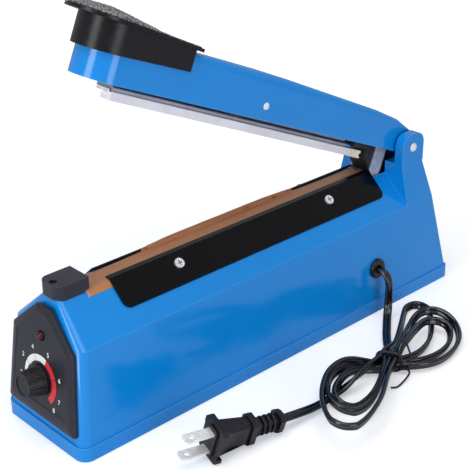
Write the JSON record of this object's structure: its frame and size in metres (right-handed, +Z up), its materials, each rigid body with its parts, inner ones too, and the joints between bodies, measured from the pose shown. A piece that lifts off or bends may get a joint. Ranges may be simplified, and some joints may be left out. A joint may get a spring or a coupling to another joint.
{
  "type": "impulse heat sealer",
  "caption": "Bench impulse heat sealer: hinged press arm over a heated ridge, timer knob on the front panel and a tied mains lead.",
  "frame": {"origin": "middle of the base tray's flat underside, on the bench", "axes": "+Z up, +X along the machine to the hinge end, +Y away from the side that the mains lead leaves"},
  "size_m": [0.3318, 0.1635, 0.2439],
  "materials": {
    "blue_plastic": "glossy injection-moulded ABS",
    "steel": "zinc-plated steel",
    "black_rubber": "smooth flexible PVC and rubber",
    "panel_plastic": "fine satin moulded plastic",
    "dial_print": "printed scale",
    "lamp": "clear-cast indicator lens",
    "board": "solder-masked laminate",
    "relay_case": "moulded case",
    "capacitor": "sleeved can",
    "copper": "enamelled winding under tape",
    "nylon": "moulded nylon",
    "tape": "glass cloth tape",
    "element": "nickel-chrome strip",
    "brass": "turned brass",
    "coated_cloth": "PTFE-coated glass cloth, slightly glossy",
    "black_steel": "black painted sheet",
    "black_plastic": "fine satin moulded plastic",
    "grey_pad": "soft pebbled pad",
    "bar_aluminium": "satin extrusion",
    "silicone": "smooth silicone rubber",
    "cream_nylon": "natural moulded nylon"
  },
  "bodies": {
    "base": {"base_shell": "blue_plastic", "base_tray": "blue_plastic", "tray_screws": "steel", "tray_pads": "black_rubber", "front_panel": "panel_plastic", "timer_dial": "dial_print", "indicator_lamp": "lamp", "potentiometer_body": "steel", "timer_board": "board", "board_relay": "relay_case", "board_capacitors": "capacitor", "transformer_core": "steel", "transformer_coil": "copper", "transformer_screws": "steel", "microswitch_body": "nylon", "microswitch_bracket": "steel", "microswitch_screws": "steel", "spring_anchor": "steel", "return_spring": "steel", "hinge_pin": "steel", "element_insulation": "tape", "heating_element": "element", "front_terminal": "brass", "rear_terminal": "brass", "terminal_cap": "panel_plastic", "terminal_cap_screw": "steel", "cover_sheet": "coated_cloth", "press_plate_near": "black_steel", "press_plate_far": "black_steel", "press_plate_screws": "steel", "cord_grommet": "black_rubber", "cord_clamp": "black_plastic", "cord_lead": "black_rubber", "cord_loops_right": "black_rubber", "cord_loops_left": "black_rubber", "cord_tie": "black_plastic", "cord_tail": "black_rubber", "plug_body": "black_rubber", "plug_blades": "steel"},
    "arm": {"arm_shell": "blue_plastic", "handle_cap": "black_plastic", "hand_rest_pad": "grey_pad", "cap_screws": "steel", "pivot_block": "nylon", "lever_strap": "steel", "lever_rivets": "steel", "bar_pivot_pin": "steel"},
    "press_bar": {"press_bar": "bar_aluminium", "silicone_strip": "silicone", "strip_end_stop": "cream_nylon", "bar_end_clip": "steel"},
    "timer_knob": {"timer_knob": "black_plastic", "knob_shaft": "brass", "knob_set_screw": "steel"},
    "switch_plunger": {"microswitch_plunger": "nylon"}
  },
  "joints": [
    {"name": "arm_hinge", "type": "hinge", "parent": "base", "child": "arm", "pos_m": [0.1283, 0, 0.1026], "axis": [0, 1, 0], "range_deg": [-23.4, 0], "stiffness_Nm_per_rad": 1.2, "springref_deg": 34.38, "deforming": ["return_spring"]},
    {"name": "press_bar_rock", "type": "hinge", "parent": "arm", "child": "press_bar", "pos_m": [-0.00076, 0, 0.16187], "axis": [0, 1, 0], "range_deg": [-0.75, 0]},
    {"name": "timer_knob_turn", "type": "hinge", "parent": "base", "child": "timer_knob", "pos_m": [-0.15579, 0, 0.0375], "axis": [0.9945, 0, -0.1044], "range_deg": [0, 277]},
    {"name": "switch_plunger_travel", "type": "slide", "parent": "base", "child": "switch_plunger", "axis": [1, 0, 0], "range_m": [0, 0.0016], "stiffness_N_per_m": 60, "springref_m": -0.0005}
  ],
  "couplings": [
    {"joint": "press_bar_rock", "follows": "arm_hinge", "ratio": 0.03205},
    {"joint": "switch_plunger_travel", "follows": "arm_hinge", "m_per_rad": -0.0039}
  ]
}
